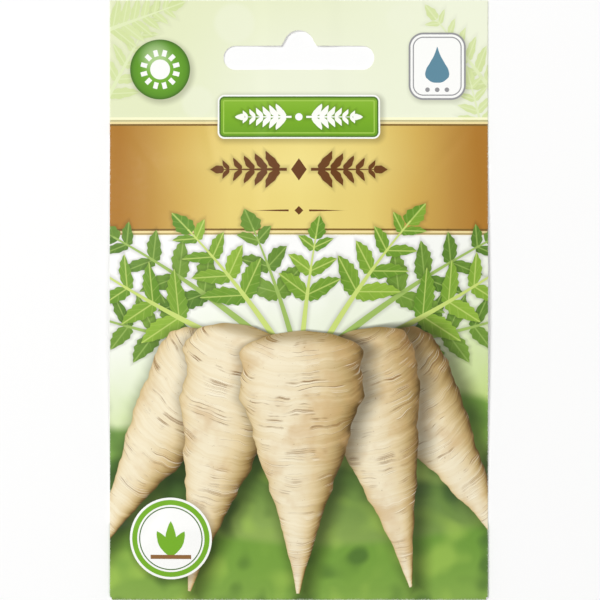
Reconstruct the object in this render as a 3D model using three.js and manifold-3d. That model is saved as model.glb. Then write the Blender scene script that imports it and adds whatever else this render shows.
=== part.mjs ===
// A flat paper packet of seeds with a punched hang hole, lying on its back.
// One printed sheet is folded round into a bag: the front, two side folds, two back
// panels that lap down the middle, and a flap folded up over the back at the bottom.
// Inside lies a folded foil sachet with the flat winged seeds.
// X runs across the packet, Y from the bottom fold up to the header, and Z up from the
// table. The origin is under the middle of the packet.

import * as THREE from 'three';
import { mergeVertices } from 'three/addons/utils/BufferGeometryUtils.js';
import Module from 'manifold-3d';

// The packet
const packetWidth = 82;
const packetHeight = 130;
const ply = 0.2;
const plyGap = 0.1;
const seamLap = 10;
const seamSlope = 2.5;
const seamShow = 5;
const flapHeight = 14;
const flapTaper = 0.05;
const flapInset = 0.25;
const flapSlope = 3;
const headerDepth = 25;
const fullness = 5;
const crossRound = 2.4;
const alongRound = 2.6;
const sideLift = 0.9;
const flatBackWidth = 48;

// The hang hole in the header
const slotWidth = 32.7;
const slotHeight = 5.24;
const slotFromTop = 12.48;
const humpRadius = 3.36;
const humpFlare = 0.5;
const humpLean = 0.3;
const punchDepth = 4;

// The sachet inside
const sachetWidth = 66;
const sachetHeight = 78;
const sachetCentreY = -10;
const foil = 0.15;
const foilGap = 0.08;
const sealMargin = 5;
const clearance = 0.3;

// The seeds
const seedLength = 6;
const seedBreadth = 4.8;
const seedThickness = 0.9;
const seedRim = 0.26;
const seedSpacing = 5.2;
const seedLayers = 3;
const seedLayerStep = 0.72;
const seedTilt = 0.05;
const seedSides = 7;
const seedDraw = 4211;
const heapLength = 34;
const heapBreadth = 30;

const wasm = await Module();
wasm.setup();

const halfWidth = packetWidth / 2;
const top = packetHeight / 2;
const pitch = ply + plyGap;
const foldRadius = pitch / 2;
const foldLength = Math.PI * foldRadius;
const foldX = halfWidth - foldRadius - ply / 2;
const bendDepth = 2 * pitch - plyGap;
const bendY = -top + bendDepth + ply / 2;
const bendLength = Math.PI * bendDepth;
const flapTop = bendY + flapHeight;
const lapHalf = seamLap / 2;

function ramp(from, to, value) {
  return THREE.MathUtils.smoothstep((value - from) / (to - from), 0, 1);
}

// How far the contents push the front away from the back
function bulge(x, y) {
  const bottom = bendY + 1;
  const along = (y - bottom) / (top - headerDepth - bottom);
  if (along <= 0 || along >= 1) return 0;
  const across = 1 - Math.min(Math.abs(x) / foldX, 1) ** crossRound;
  return fullness * across * (1 - Math.abs(2 * along - 1) ** alongRound);
}

// Middle of the outer back panel. It steps up over the flap, and its sides lift a little.
function backLevel(x, y) {
  const bottom = flapTop + flapSlope;
  const overFlap = pitch * ramp(bottom, flapTop + 0.5, y);
  const along = THREE.MathUtils.clamp((y - bottom) / (top - headerDepth - bottom), 0, 1);
  const out = Math.max(Math.abs(x) - flatBackWidth / 2, 0) / (halfWidth - flatBackWidth / 2);
  return ply / 2 + overFlap + sideLift * out ** 2 * Math.sin(Math.PI * along) ** 2;
}

// Middle of the inner back panel, which climbs onto the outer one at the seam
function innerBackLevel(x, y) {
  return backLevel(x, y) + pitch * ramp(lapHalf + seamSlope, lapHalf + 0.6, x);
}

// Where the front would lie if the packet were empty, over one or two back plies
function emptyLevel(x, y) {
  return backLevel(x, y) + pitch + pitch * ramp(lapHalf + seamShow, lapHalf + 1, Math.abs(x));
}

function frontLevel(x, y) {
  return emptyLevel(x, y) + bulge(x, y);
}

// A point in the middle of the folded sheet. u runs round the packet from the middle of
// the front, and v up from the bottom fold, or below 0 round the fold into the flap.
function sheetPoint(u, v) {
  if (v < 0) return flapPoint(u, -v);
  const y = bendY + v;
  const side = Math.sign(u);
  const past = Math.abs(u) - foldX;
  if (past <= 0) return new THREE.Vector3(u, y, frontLevel(u, y));
  if (past < foldLength) {
    const turn = past / foldRadius;
    const x = side * (foldX + foldRadius * Math.sin(turn));
    return new THREE.Vector3(x, y, backLevel(foldX, y) + foldRadius * (1 + Math.cos(turn)));
  }
  const x = side * (foldX - past + foldLength);
  return new THREE.Vector3(x, y, side > 0 ? innerBackLevel(x, y) : backLevel(x, y));
}

function flapPoint(u, past) {
  const high = frontLevel(u, bendY);
  const low = ply / 2;
  const turn = Math.PI * Math.min(past / bendLength, 1);
  const up = Math.max(past - bendLength, 0);
  const x = u * (1 - flapTaper * up / flapHeight);
  const y = bendY - bendDepth * Math.sin(turn) + up;
  return new THREE.Vector3(x, y, (high + low) / 2 + (high - low) / 2 * Math.cos(turn));
}

// A point in the middle of the sachet's foil. u runs across it, and v up the lower ply
// when it is below 0 and up the upper ply when it is above, from the fold between them.
function sachetPoint(u, v) {
  const bend = (foil + foilGap) / 2;
  const bendHalf = Math.PI * bend / 2;
  const bottom = sachetCentreY - sachetHeight / 2 + bend;
  const past = Math.abs(v) - bendHalf;
  const turn = Math.min(Math.abs(v) / bend, Math.PI / 2);
  const y = past < 0 ? bottom - bend * Math.cos(turn) : bottom + past;
  const low = sachetFloor(u, Math.max(y, bottom)) + foil / 2;
  if (v < 0) return new THREE.Vector3(u, y, low + bend * (1 - Math.sin(turn)));
  return new THREE.Vector3(u, y, low + bend * (1 + Math.sin(turn)) + sachetRoom(u, y));
}

function sachetFloor(x, y) {
  return emptyLevel(x, y) - ply / 2 - plyGap + clearance;
}

// How far the seeds hold the sachet's two plies apart, beyond the gap at its seals
function sachetRoom(x, y) {
  const spare = bulge(x, y) + plyGap - 2 * clearance - 2 * foil - foilGap;
  const inX = sachetWidth / 2 - sealMargin - Math.abs(x);
  const inY = sachetHeight / 2 - sealMargin - Math.abs(y - sachetCentreY);
  return Math.max(spare, 0) * ramp(0, 9, inX) * ramp(0, 9, inY);
}

// Gives a folded sheet its thickness. The cells of the grid that has(i, j) leaves out
// are not part of the sheet.
function thickSheet(pointAt, us, vs, thickness, has = () => true) {
  const positions = [];
  const indices = [];
  const faces = new Map();
  const step = 1e-4;
  const vertex = (i, j, face) => {
    const key = `${i},${j},${face}`;
    if (!faces.has(key)) {
      const along = pointAt(us[i] + step, vs[j]).sub(pointAt(us[i] - step, vs[j]));
      const up = pointAt(us[i], vs[j] + step).sub(pointAt(us[i], vs[j] - step));
      const normal = along.cross(up).normalize();
      faces.set(key, faces.size);
      positions.push(...pointAt(us[i], vs[j]).addScaledVector(normal, face * thickness / 2));
    }
    return faces.get(key);
  };
  const quad = (a, b, c, d) => indices.push(a, b, c, a, c, d);
  const isCell = (i, j) => i >= 0 && j >= 0 && i < us.length - 1 && j < vs.length - 1 && has(i, j);
  for (let i = 0; i < us.length - 1; i++) {
    for (let j = 0; j < vs.length - 1; j++) {
      if (!isCell(i, j)) continue;
      const corners = [[i, j], [i + 1, j], [i + 1, j + 1], [i, j + 1]];
      const outer = corners.map(([a, b]) => vertex(a, b, 1));
      const inner = corners.map(([a, b]) => vertex(a, b, -1));
      quad(...outer);
      quad(...inner.slice().reverse());
      [[i, j - 1], [i + 1, j], [i, j + 1], [i - 1, j]].forEach((beside, k) => {
        if (isCell(...beside)) return;
        const next = (k + 1) % 4;
        quad(outer[next], outer[k], inner[k], inner[next]);
      });
    }
  }
  const geometry = new THREE.BufferGeometry();
  geometry.setAttribute('position', new THREE.Float32BufferAttribute(positions, 3));
  geometry.setIndex(indices);
  return geometry;
}

function toSolid(geometry) {
  const bare = geometry.clone();
  bare.deleteAttribute('normal');
  bare.deleteAttribute('uv');
  const merged = mergeVertices(bare, 1e-5);
  return new wasm.Manifold(new wasm.Mesh({
    numProp: 3,
    vertProperties: new Float32Array(merged.attributes.position.array),
    triVerts: new Uint32Array(merged.index.array),
  }));
}

function toGeometry(solid) {
  const mesh = solid.getMesh();
  const geometry = new THREE.BufferGeometry();
  geometry.setAttribute('position', new THREE.Float32BufferAttribute(mesh.vertProperties, 3));
  geometry.setIndex([...mesh.triVerts]);
  return geometry;
}

// Even steps from one value to another, the last one left out
function steps(from, to, count) {
  return Array.from({ length: count }, (_, k) => from + (to - from) * k / count);
}

function hangHole() {
  const endRadius = slotHeight / 2;
  const endX = slotWidth / 2 - endRadius;
  const middle = top - slotFromTop;
  const edge = middle + endRadius;
  const shape = new THREE.Shape();
  shape.moveTo(-endX, middle - endRadius);
  shape.lineTo(endX, middle - endRadius);
  shape.absarc(endX, middle, endRadius, -Math.PI / 2, Math.PI / 2, false);
  shape.lineTo(humpRadius + humpFlare, edge);
  const leanX = humpRadius * Math.cos(humpLean);
  const leanY = edge + humpRadius * Math.sin(humpLean);
  shape.quadraticCurveTo(humpRadius, edge, leanX, leanY);
  shape.absarc(0, edge, humpRadius, humpLean, Math.PI - humpLean, false);
  shape.quadraticCurveTo(-humpRadius, edge, -humpRadius - humpFlare, edge);
  shape.lineTo(-endX, edge);
  shape.absarc(-endX, middle, endRadius, Math.PI / 2, Math.PI * 1.5, false);
  const options = { depth: punchDepth, bevelEnabled: false, curveSegments: 10 };
  const punch = new THREE.ExtrudeGeometry(shape, options);
  punch.translate(0, 0, -punchDepth / 4);
  return punch;
}

function packetSheet() {
  const backEdge = foldX + foldLength + foldX + lapHalf;
  const foldEnd = foldX + foldLength;
  const seamFoot = foldEnd + foldX - lapHalf;
  const flapSide = foldX - flapInset;
  const seamFootX = lapHalf + seamShow;
  const headerFoot = top - headerDepth - bendY;
  const us = [
    ...steps(-backEdge, -seamFoot, 3),
    ...steps(-seamFoot, -foldEnd, 5),
    ...steps(-foldEnd, -foldX, 6),
    -foldX,
    ...steps(-flapSide, -seamFootX, 6),
    ...steps(-seamFootX, seamFootX, 8),
    ...steps(seamFootX, flapSide, 6),
    flapSide,
    ...steps(foldX, foldEnd, 6),
    ...steps(foldEnd, seamFoot - seamSlope, 5),
    ...steps(seamFoot - seamSlope, seamFoot, 3),
    ...steps(seamFoot, backEdge, 2),
    backEdge,
  ];
  const vs = [
    ...steps(-bendLength - flapHeight, -bendLength, 2),
    ...steps(-bendLength, 0, 6),
    0,
    ...steps(flapHeight / 3, flapHeight + 0.5, 2),
    ...steps(flapHeight + 0.5, flapHeight + flapSlope, 2),
    ...steps(flapHeight + flapSlope, headerFoot, 13),
    headerFoot,
    top - bendY,
  ];
  const firstMain = vs.indexOf(0);
  const hasCell = (i, j) => {
    const inFlap = us[i] >= -flapSide - 1e-6 && us[i + 1] <= flapSide + 1e-6;
    return inFlap || j >= firstMain;
  };
  return thickSheet(sheetPoint, us, vs, ply, hasCell);
}

function sachetSheet() {
  const half = sachetWidth / 2;
  const bendHalf = Math.PI * (foil + foilGap) / 4;
  const reach = sachetHeight - (foil + foilGap) / 2 + bendHalf;
  const rise = steps(bendHalf, reach, 12);
  const us = [...steps(-half, half, 14), half];
  const fall = rise.map((v) => -v).reverse();
  const vs = [-reach, ...fall, -bendHalf / 2, 0, bendHalf / 2, ...rise, reach];
  return thickSheet(sachetPoint, us, vs, foil);
}

function seedShape() {
  const flat = seedThickness / 2;
  const rim = seedRim / 2;
  const profile = [[0, -flat], [1, -rim], [1, rim], [0, flat]].map(([r, z]) => new THREE.Vector2(r, z));
  const seed = new THREE.LatheGeometry(profile, seedSides);
  seed.rotateX(Math.PI / 2);
  return seed.scale(seedLength / 2, seedBreadth / 2, 1);
}

// A repeatable draw between -1 and 1
function makeDraw(seed) {
  let state = seed;
  return () => {
    state = (state * 48271) % 2147483647;
    return state / 1073741823.5 - 1;
  };
}

function seedFits(seed, place) {
  const corner = new THREE.Vector3();
  const points = seed.attributes.position;
  for (let k = 0; k < points.count; k++) {
    corner.fromBufferAttribute(points, k).applyMatrix4(place);
    const floor = sachetFloor(corner.x, corner.y) + foil + clearance;
    const ceiling = floor + foilGap + sachetRoom(corner.x, corner.y) - 2 * clearance;
    if (corner.z < floor || corner.z > ceiling) return false;
  }
  return true;
}

// The seeds lie flat in layers, each shifted against the one below
function seedHeap() {
  const seed = seedShape();
  const draw = makeDraw(seedDraw);
  const row = seedSpacing * 0.85;
  let heap = null;
  for (let layer = 0; layer < seedLayers; layer++) {
    for (let gy = -6; gy <= 6; gy++) {
      for (let gx = -5; gx <= 5; gx++) {
        const shift = (gy % 2 ? 0.5 : 0) + (layer % 2 ? 0.33 : 0);
        const x = (gx + shift + 0.12 * draw()) * seedSpacing;
        const y = sachetCentreY + (gy + (layer % 2 ? 0.4 : 0) + 0.12 * draw()) * row;
        const turn = new THREE.Euler(seedTilt * draw(), seedTilt * draw(), Math.PI * draw());
        const inHeap = (2 * x / heapBreadth) ** 2 + (2 * (y - sachetCentreY) / heapLength) ** 2 < 1;
        const lowest = sachetFloor(x, y) + foil + clearance + seedThickness / 2 + 0.12;
        const place = new THREE.Matrix4().makeRotationFromEuler(turn);
        place.setPosition(x, y, lowest + layer * seedLayerStep);
        if (!inHeap || !seedFits(seed, place)) continue;
        const solid = toSolid(seed.clone().applyMatrix4(place));
        heap = heap ? heap.add(solid) : solid;
      }
    }
  }
  return largestBody(toGeometry(heap));
}

// Keeps the one body with the most volume, so sealed hollows are filled and scraps go
function largestBody(geometry) {
  const { array } = geometry.index;
  const points = geometry.attributes.position;
  const parent = Array.from({ length: points.count }, (_, k) => k);
  const root = (k) => {
    while (parent[k] !== k) k = parent[k] = parent[parent[k]];
    return k;
  };
  for (let k = 0; k < array.length; k += 3) {
    parent[root(array[k])] = root(array[k + 1]);
    parent[root(array[k + 1])] = root(array[k + 2]);
  }
  const volumes = new Map();
  const corner = (k) => new THREE.Vector3().fromBufferAttribute(points, array[k]);
  for (let k = 0; k < array.length; k += 3) {
    const body = root(array[k]);
    const volume = corner(k).dot(corner(k + 1).cross(corner(k + 2)));
    volumes.set(body, (volumes.get(body) ?? 0) + volume);
  }
  const [largest] = [...volumes].sort((a, b) => b[1] - a[1])[0];
  geometry.setIndex([...array].filter((_, k) => root(array[k - k % 3]) === largest));
  return geometry;
}

function node(name, geometry, colour, roughness, metalness = 0) {
  const material = new THREE.MeshStandardMaterial({ color: colour, roughness, metalness });
  const mesh = new THREE.Mesh(geometry, material);
  mesh.name = name;
  return mesh;
}

const packet = toSolid(packetSheet()).subtract(toSolid(hangHole()));

const group = new THREE.Group();
group.add(node('packet_paper', toGeometry(packet), 0xd8c98a, 0.45));
group.add(node('inner_sachet', sachetSheet(), 0xc9c9c6, 0.35, 0.6));
group.add(node('seeds', seedHeap(), 0xb08d57, 0.8));

export default group;
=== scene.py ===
import math
import random

import bpy
import numpy as np
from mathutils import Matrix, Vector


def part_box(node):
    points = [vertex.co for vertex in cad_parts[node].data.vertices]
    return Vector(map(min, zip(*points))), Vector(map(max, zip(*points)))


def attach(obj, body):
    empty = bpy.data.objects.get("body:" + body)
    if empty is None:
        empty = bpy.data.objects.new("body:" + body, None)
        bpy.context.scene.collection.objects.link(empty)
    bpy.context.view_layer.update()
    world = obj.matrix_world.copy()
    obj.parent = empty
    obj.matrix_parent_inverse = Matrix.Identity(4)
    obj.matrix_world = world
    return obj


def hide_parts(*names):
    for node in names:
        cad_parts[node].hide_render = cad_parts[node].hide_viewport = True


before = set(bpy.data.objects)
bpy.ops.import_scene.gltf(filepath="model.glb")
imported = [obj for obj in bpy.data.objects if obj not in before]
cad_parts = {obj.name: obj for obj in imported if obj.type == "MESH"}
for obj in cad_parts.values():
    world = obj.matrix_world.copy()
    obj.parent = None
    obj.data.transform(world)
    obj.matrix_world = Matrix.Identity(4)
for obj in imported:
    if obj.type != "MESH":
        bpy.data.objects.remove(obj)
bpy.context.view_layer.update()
mm = 0.001

# The camera comes first: it looks straight down on the front of the packet.
view = {
    "lens": 150,              # mm, on a sensor 36 mm wide
    "sensor": 36,
    "framePixels": 600,
    "packetPixels": 599,      # height of the packet in the picture
    "packetCentreX": 298.9,   # pixel column of the packet's middle
}


def makeCamera():
    low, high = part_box("packet_paper")
    perPixel = (high.y - low.y) / view["packetPixels"]
    data = bpy.data.cameras.new("camera")
    data.lens = view["lens"]
    data.sensor_width = view["sensor"]
    camera = bpy.data.objects.new("camera", data)
    bpy.context.scene.collection.objects.link(camera)
    distance = perPixel * view["framePixels"] * data.lens / data.sensor_width
    middle = view["framePixels"] / 2
    camera.location = ((middle - view["packetCentreX"]) * perPixel, 0, distance)
    bpy.context.scene.camera = camera


makeCamera()
print("camera looks down on the packet")


# Numbers inside a material, so that printed shapes can be written as sums
class Num:
    def __init__(self, socket):
        self.socket = socket

    def __add__(self, other):
        return calc("ADD", self, other)

    def __radd__(self, other):
        return calc("ADD", other, self)

    def __sub__(self, other):
        return calc("SUBTRACT", self, other)

    def __rsub__(self, other):
        return calc("SUBTRACT", other, self)

    def __mul__(self, other):
        return calc("MULTIPLY", self, other)

    def __rmul__(self, other):
        return calc("MULTIPLY", other, self)

    def __truediv__(self, other):
        return calc("DIVIDE", self, other)

    def __rtruediv__(self, other):
        return calc("DIVIDE", other, self)

    def __abs__(self):
        return calc("ABSOLUTE", self)

    def __pow__(self, power):
        return calc("POWER", self, power)


def feed(socket, value):
    if isinstance(value, Num):
        value = value.socket
    if isinstance(value, bpy.types.NodeSocket):
        socket.id_data.links.new(value, socket)
    else:
        socket.default_value = value


def calc(operation, *values):
    tree = next(v for v in values if isinstance(v, Num)).socket.id_data
    node = tree.nodes.new("ShaderNodeMath")
    node.operation = operation
    for socket, value in zip(node.inputs, values):
        feed(socket, value)
    return Num(node.outputs[0])


def least(*values):
    return values[0] if len(values) == 1 else calc("MINIMUM", values[0], least(*values[1:]))


def most(*values):
    return values[0] if len(values) == 1 else calc("MAXIMUM", values[0], most(*values[1:]))


def fade(value, start, end, low=0.0, high=1.0):  # runs smoothly from low to high
    node = value.socket.id_data.nodes.new("ShaderNodeMapRange")
    node.interpolation_type = "SMOOTHSTEP"
    node.clamp = False       # the smooth step stays in its range by itself
    names = ("Value", "From Min", "From Max", "To Min", "To Max")
    for name, given in zip(names, (value, start, end, low, high)):
        feed(node.inputs[name], given)
    return Num(node.outputs["Result"])


def follow(value, points):  # a smooth curve through points, for values from 0 to 1
    node = value.socket.id_data.nodes.new("ShaderNodeFloatCurve")
    curve = node.mapping.curves[0]
    curve.points[0].location = points[0]
    curve.points[1].location = points[-1]
    for point in points[1:-1]:
        curve.points.new(*point)
    node.mapping.update()
    feed(node.inputs["Value"], value)
    return Num(node.outputs[0])


def ink(red, green, blue):  # a colour as it looks on a screen, each part from 0 to 255
    parts = [part / 255 for part in (red, green, blue)]
    return (*[p / 12.92 if p <= 0.04045 else ((p + 0.055) / 1.055) ** 2.4 for p in parts], 1)


def colourRamp(value, stops):
    node = value.socket.id_data.nodes.new("ShaderNodeValToRGB")
    elements = node.color_ramp.elements
    for element, (place, colour) in zip([elements[0], elements[1]], [stops[0], stops[-1]]):
        element.position = place
        element.color = colour
    for place, colour in stops[1:-1]:
        elements.new(place).color = colour
    feed(node.inputs["Fac"], value)
    return node.outputs["Color"]


# A print is laid down in layers. Places on it are in mm from the packet's middle.
class Board:
    def __init__(self, tree, x, y, colour):
        self.tree = tree
        self.x = x
        self.y = y
        self.colour = colour
        self.place = tree.nodes.new("ShaderNodeTexCoord").outputs["Object"]

    def either(self, left, right):  # one number left of the middle line, another right of it
        return calc("GREATER_THAN", self.x, 0) * (right - left) + left

    def mix(self, cover, under, over, blend="MIX"):
        node = self.tree.nodes.new("ShaderNodeMix")
        node.data_type = "RGBA"
        node.blend_type = blend
        feed(node.inputs[0], cover)
        feed(node.inputs[6], under)
        feed(node.inputs[7], over)
        return node.outputs[2]

    def lay(self, cover, colour, blend="MIX"):
        self.colour = self.mix(cover, self.colour, colour, blend)

    def darken(self, cover):
        self.lay(cover, ink(58, 48, 22), "MULTIPLY")

    def grain(self, size, detail=2.0, roughness=0.5):  # soft noise from 0 to 1
        node = self.tree.nodes.new("ShaderNodeTexNoise")
        node.inputs["Scale"].default_value = 1 / (size * mm)
        node.inputs["Detail"].default_value = detail
        node.inputs["Roughness"].default_value = roughness
        feed(node.inputs["Vector"], self.place)
        return Num(node.outputs["Fac"])


def ripple(value, detail=2.0, roughness=0.5):  # noise along one line only
    node = value.socket.id_data.nodes.new("ShaderNodeTexNoise")
    node.noise_dimensions = "1D"
    node.inputs["Scale"].default_value = 1
    node.inputs["Detail"].default_value = detail
    node.inputs["Roughness"].default_value = roughness
    feed(node.inputs["W"], value)
    return Num(node.outputs["Fac"])


def addLayer(board, draw, x=None, **given):  # each kind of layer is one node group
    name = draw.__name__
    tree = bpy.data.node_groups.get(name)
    isColour = {"under": True, "x": False, "y": False}
    isColour.update({key: isinstance(value, tuple) for key, value in given.items()})
    if tree is None:
        tree = bpy.data.node_groups.new(name, "ShaderNodeTree")
        for key, colour in isColour.items():
            kind = "NodeSocketColor" if colour else "NodeSocketFloat"
            tree.interface.new_socket(key, in_out="INPUT", socket_type=kind)
        tree.interface.new_socket("print", in_out="OUTPUT", socket_type="NodeSocketColor")
        start = tree.nodes.new("NodeGroupInput").outputs
        inner = Board(tree, Num(start["x"]), Num(start["y"]), start["under"])
        draw(inner, **{key: start[key] if isColour[key] else Num(start[key]) for key in given})
        feed(tree.nodes.new("NodeGroupOutput").inputs[0], inner.colour)
    node = board.tree.nodes.new("ShaderNodeGroup")
    node.node_tree = tree
    for key, value in {"under": board.colour, "x": x or board.x, "y": board.y, **given}.items():
        feed(node.inputs[key], value)
    board.colour = node.outputs[0]


def newBoard(name, ground):  # a material whose print starts from one ground colour
    material = bpy.data.materials.new(name)
    material.use_nodes = True
    tree = material.node_tree
    split = tree.nodes.new("ShaderNodeSeparateXYZ")
    board = Board(tree, None, None, ground)
    feed(split.inputs[0], board.place)
    board.x, board.y = [Num(part) * (1 / mm) for part in split.outputs[:2]]
    board.material = material
    board.shader = tree.nodes["Principled BSDF"]
    return board


def finishBoard(board, roughness, relief, reliefHeight):
    feed(board.shader.inputs["Base Color"], board.colour)
    feed(board.shader.inputs["Roughness"], roughness)
    bump = board.tree.nodes.new("ShaderNodeBump")
    bump.inputs["Strength"].default_value = 1
    bump.inputs["Distance"].default_value = reliefHeight * mm
    feed(bump.inputs["Height"], relief)
    feed(board.shader.inputs["Normal"], bump.outputs[0])
    return board.material


def edge(depth, soft=0.05):  # 1 inside a shape, where depth is above 0
    return fade(depth, -soft, soft)


def disc(board, centre, radius):
    dx = board.x - centre[0]
    dy = board.y - centre[1]
    return radius - (dx * dx + dy * dy) ** 0.5


def plate(board, centre, size, corner):  # a rectangle with round corners
    pastX = abs(board.x - centre[0]) - (size[0] / 2 - corner)
    pastY = abs(board.y - centre[1]) - (size[1] / 2 - corner)
    outX = most(pastX, 0)
    outY = most(pastY, 0)
    return corner - (outX * outX + outY * outY) ** 0.5 - least(most(pastX, pastY), 0)


def dropShadow(board, form, mark, shift, start, end, strength):  # under a disc or a plate
    x, y = mark["centre"]
    moved = {**mark, "centre": (x + shift[0], y + shift[1])}
    board.darken(fade(form(board, **moved), start, end) * strength)


def turned(board, footX, footY, lean):  # across and down from a foot, for a shape that leans
    dx = board.x - footX
    dy = board.y - footY
    if isinstance(lean, Num):
        c = calc("COSINE", lean)
        s = calc("SINE", lean)
    else:
        c = math.cos(lean)
        s = math.sin(lean)
    return dx * c + dy * s, dx * s - dy * c


def strip(down, length):  # above 0 between a foot and a tip
    return least(down, length - down)


def petal(board, foot, lean, length, width, profile):  # profile gives the width from foot to tip
    across, down = turned(board, *foot, math.radians(lean))
    half = follow(down / length, profile) * (width / 2)
    return least(half - abs(across), strip(down, length))


# The folded sheet. It follows the CAD sheet's own rules, with thinner and closer plies.
sheet = {                     # lengths in mm
    "ply": 0.15,
    "gap": 0.05,
    "lap": 10,                # width of the seam where the back panels lap
    "seamStart": 0.6,         # a panel slopes down beside the lap from here to here
    "seamSlope": 2.5,
    "coverStart": 1,          # and the front over it more gently
    "seamShow": 5,
    "flapHeight": 14,
    "flapStart": 0.5,         # the back slopes down past the flap from here to here
    "flapSlope": 3,
    "flapInset": 0.25,
    "flapTaper": 0.05,
    "bendDepth": 0.5,
    "header": 25,
    "swellFoot": 1,           # the packet swells from this far above its bottom fold
    "fullness": 4.95,
    "crossRound": 2.4,
    "alongRound": 2.6,
    "sideLift": 0.9,
    "flatBack": 48,
    "seedBumps": 0.16,
    "bumpRadius": 2.6,
    "sachetRidge": 0.16,
    "ridgeSharpness": 18,
    "creaseDepth": 0.42,
    "creaseBreadth": 1.1,
    "creaseLength": 7.5,
    "creases": ((-34, 33, 38), (34, 34, -40), (-33, -50, -36), (34, -49, 37), (-20, 37, 14)),  # x, y, lean
    "cockle": 0.12,
    "cell": 0.62,             # size of one mesh cell on the front, then on the back and its seam
    "backCell": 3,
    "seamCell": 0.4,
    "foldSteps": 10,
    "bendSteps": 12,
    "sharpAngle": 50,         # degrees between two faces
}
hole = {                      # lengths in mm, humpLean in radians
    "width": 32.7,
    "height": 5.24,
    "fromTop": 12.48,
    "humpRadius": 3.36,
    "humpFlare": 0.5,
    "humpLean": 0.3,
    "endSteps": 24,
    "humpSteps": 32,
}
sachet = {
    "width": 66,
    "height": 78,
    "centreY": -10,
    "foil": 0.12,
    "gap": 0.06,
    "margin": 5,
    "shoulder": 9,            # it fills up over this distance from its seals
    "clearance": 0.3,
    "cell": 1.0,
    "bendSteps": 8,
    "crimp": 0.05,
    "crimpTurns": 5,          # turn of the crimp's wave for each mm, in radians
}
frontSlot, backSlot, insideSlot, cutSlot = range(4)     # the paper's four materials

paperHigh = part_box("packet_paper")[1] / mm
halfWidth = paperHigh.x
top = paperHigh.y
pitch = sheet["ply"] + sheet["gap"]
foldRadius = pitch / 2
foldLength = math.pi * foldRadius
foldX = halfWidth - foldRadius - sheet["ply"] / 2
bendDepth = sheet["bendDepth"]
bendY = -top + bendDepth + sheet["ply"] / 2
bendLength = math.pi * bendDepth
flapTop = bendY + sheet["flapHeight"]
headerFoot = top - sheet["header"]
lapHalf = sheet["lap"] / 2


def ramp(start, end, value):  # smooth from 0 at the start to 1 at the end
    share = np.clip((value - start) / (end - start), 0, 1)
    return share * share * (3 - 2 * share)


def bulge(x, y):  # how far the filling lifts the front
    bottom = bendY + sheet["swellFoot"]
    along = np.clip((y - bottom) / (headerFoot - bottom), 0, 1)
    across = 1 - np.minimum(abs(x) / foldX, 1) ** sheet["crossRound"]
    return sheet["fullness"] * across * (1 - abs(2 * along - 1) ** sheet["alongRound"])


def backLevel(x, y):  # height of the outer back panel's middle over the table
    bottom = flapTop + sheet["flapSlope"]
    overFlap = pitch * ramp(bottom, flapTop + sheet["flapStart"], y)
    along = np.clip((y - bottom) / (headerFoot - bottom), 0, 1)
    flat = sheet["flatBack"] / 2
    out = np.maximum(abs(x) - flat, 0) / (halfWidth - flat)
    return sheet["ply"] / 2 + overFlap + sheet["sideLift"] * out ** 2 * np.sin(np.pi * along) ** 2


def innerBackLevel(x, y):  # the right panel goes inside the left one at the seam
    return backLevel(x, y) + pitch * ramp(lapHalf + sheet["seamSlope"], lapHalf + sheet["seamStart"], x)


def emptyLevel(x, y):  # where the front would lie on an empty packet
    overSeam = ramp(lapHalf + sheet["seamShow"], lapHalf + sheet["coverStart"], abs(x))
    return backLevel(x, y) + pitch * (1 + overSeam)


seeds = {
    "length": 6.0,
    "breadth": 4.9,
    "thickness": 0.8,
    "sizeSpread": 0.15,
    "spacing": 6.3,
    "rowPitch": 0.87,         # in spacings
    "rowShift": 0.5,          # of each second row, in spacings
    "layerShift": (0.35, 0.4),    # of each second layer, across in spacings and up in rows
    "jitter": 0.2,
    "layers": 5,
    "layerStep": 0.95,
    "floorGap": 0.25,
    "roofGap": 0.2,
    "gridReach": 6,           # rows and columns on each side of the middle
    "heapLength": 54,
    "heapBreadth": 46,
    "draw": 17,
    "sides": 8,
    "rings": ((0.0, 0.5), (0.55, 0.42), (0.82, 0.16), (1.0, 0.08)),   # radius and height, as shares
}


def sachetFloor(x, y):  # underside of the sachet
    return emptyLevel(x, y) - sheet["ply"] / 2 - sheet["gap"] + sachet["clearance"]


def sachetRoom(x, y):  # how far its two webs stand apart
    lost = 2 * sachet["clearance"] + 2 * sachet["foil"] + sachet["gap"]
    inX = sachet["width"] / 2 - sachet["margin"] - abs(x)
    inY = sachet["height"] / 2 - sachet["margin"] - abs(y - sachet["centreY"])
    room = np.maximum(bulge(x, y) + sheet["gap"] - lost, 0)
    return room * ramp(0, sachet["shoulder"], inX) * ramp(0, sachet["shoulder"], inY)


def layOutSeeds():  # places of flat seeds in layers, no two touching
    draw = random.Random(seeds["draw"])
    places = []
    row = seeds["spacing"] * seeds["rowPitch"]
    jitter = seeds["jitter"]
    grid = range(-seeds["gridReach"], seeds["gridReach"] + 1)
    reach = seeds["length"] / 2
    half = seeds["thickness"] / 2
    for layer in range(seeds["layers"]):
        shiftX, shiftY = [(layer % 2) * shift for shift in seeds["layerShift"]]
        for gy in grid:
            for gx in grid:
                x = (gx + (gy % 2) * seeds["rowShift"] + shiftX) * seeds["spacing"]
                x += draw.uniform(-jitter, jitter)
                y = sachet["centreY"] + (gy + shiftY) * row + draw.uniform(-jitter, jitter)
                turn = draw.uniform(0, math.tau)
                inside = (2 * x / seeds["heapBreadth"]) ** 2
                inside += (2 * (y - sachet["centreY"]) / seeds["heapLength"]) ** 2
                low = float(sachetFloor(x, y)) + sachet["foil"] + seeds["floorGap"]
                z = low + half + layer * seeds["layerStep"]
                roof = min(float(sachetFloor(x + a, y + b) + sachetRoom(x + a, y + b))
                           for a, b in ((reach, 0), (-reach, 0), (0, reach), (0, -reach)))
                if inside < 1 and z + half + seeds["roofGap"] < roof + sachet["foil"]:
                    places.append((x, y, z, turn))
    return places


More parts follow.
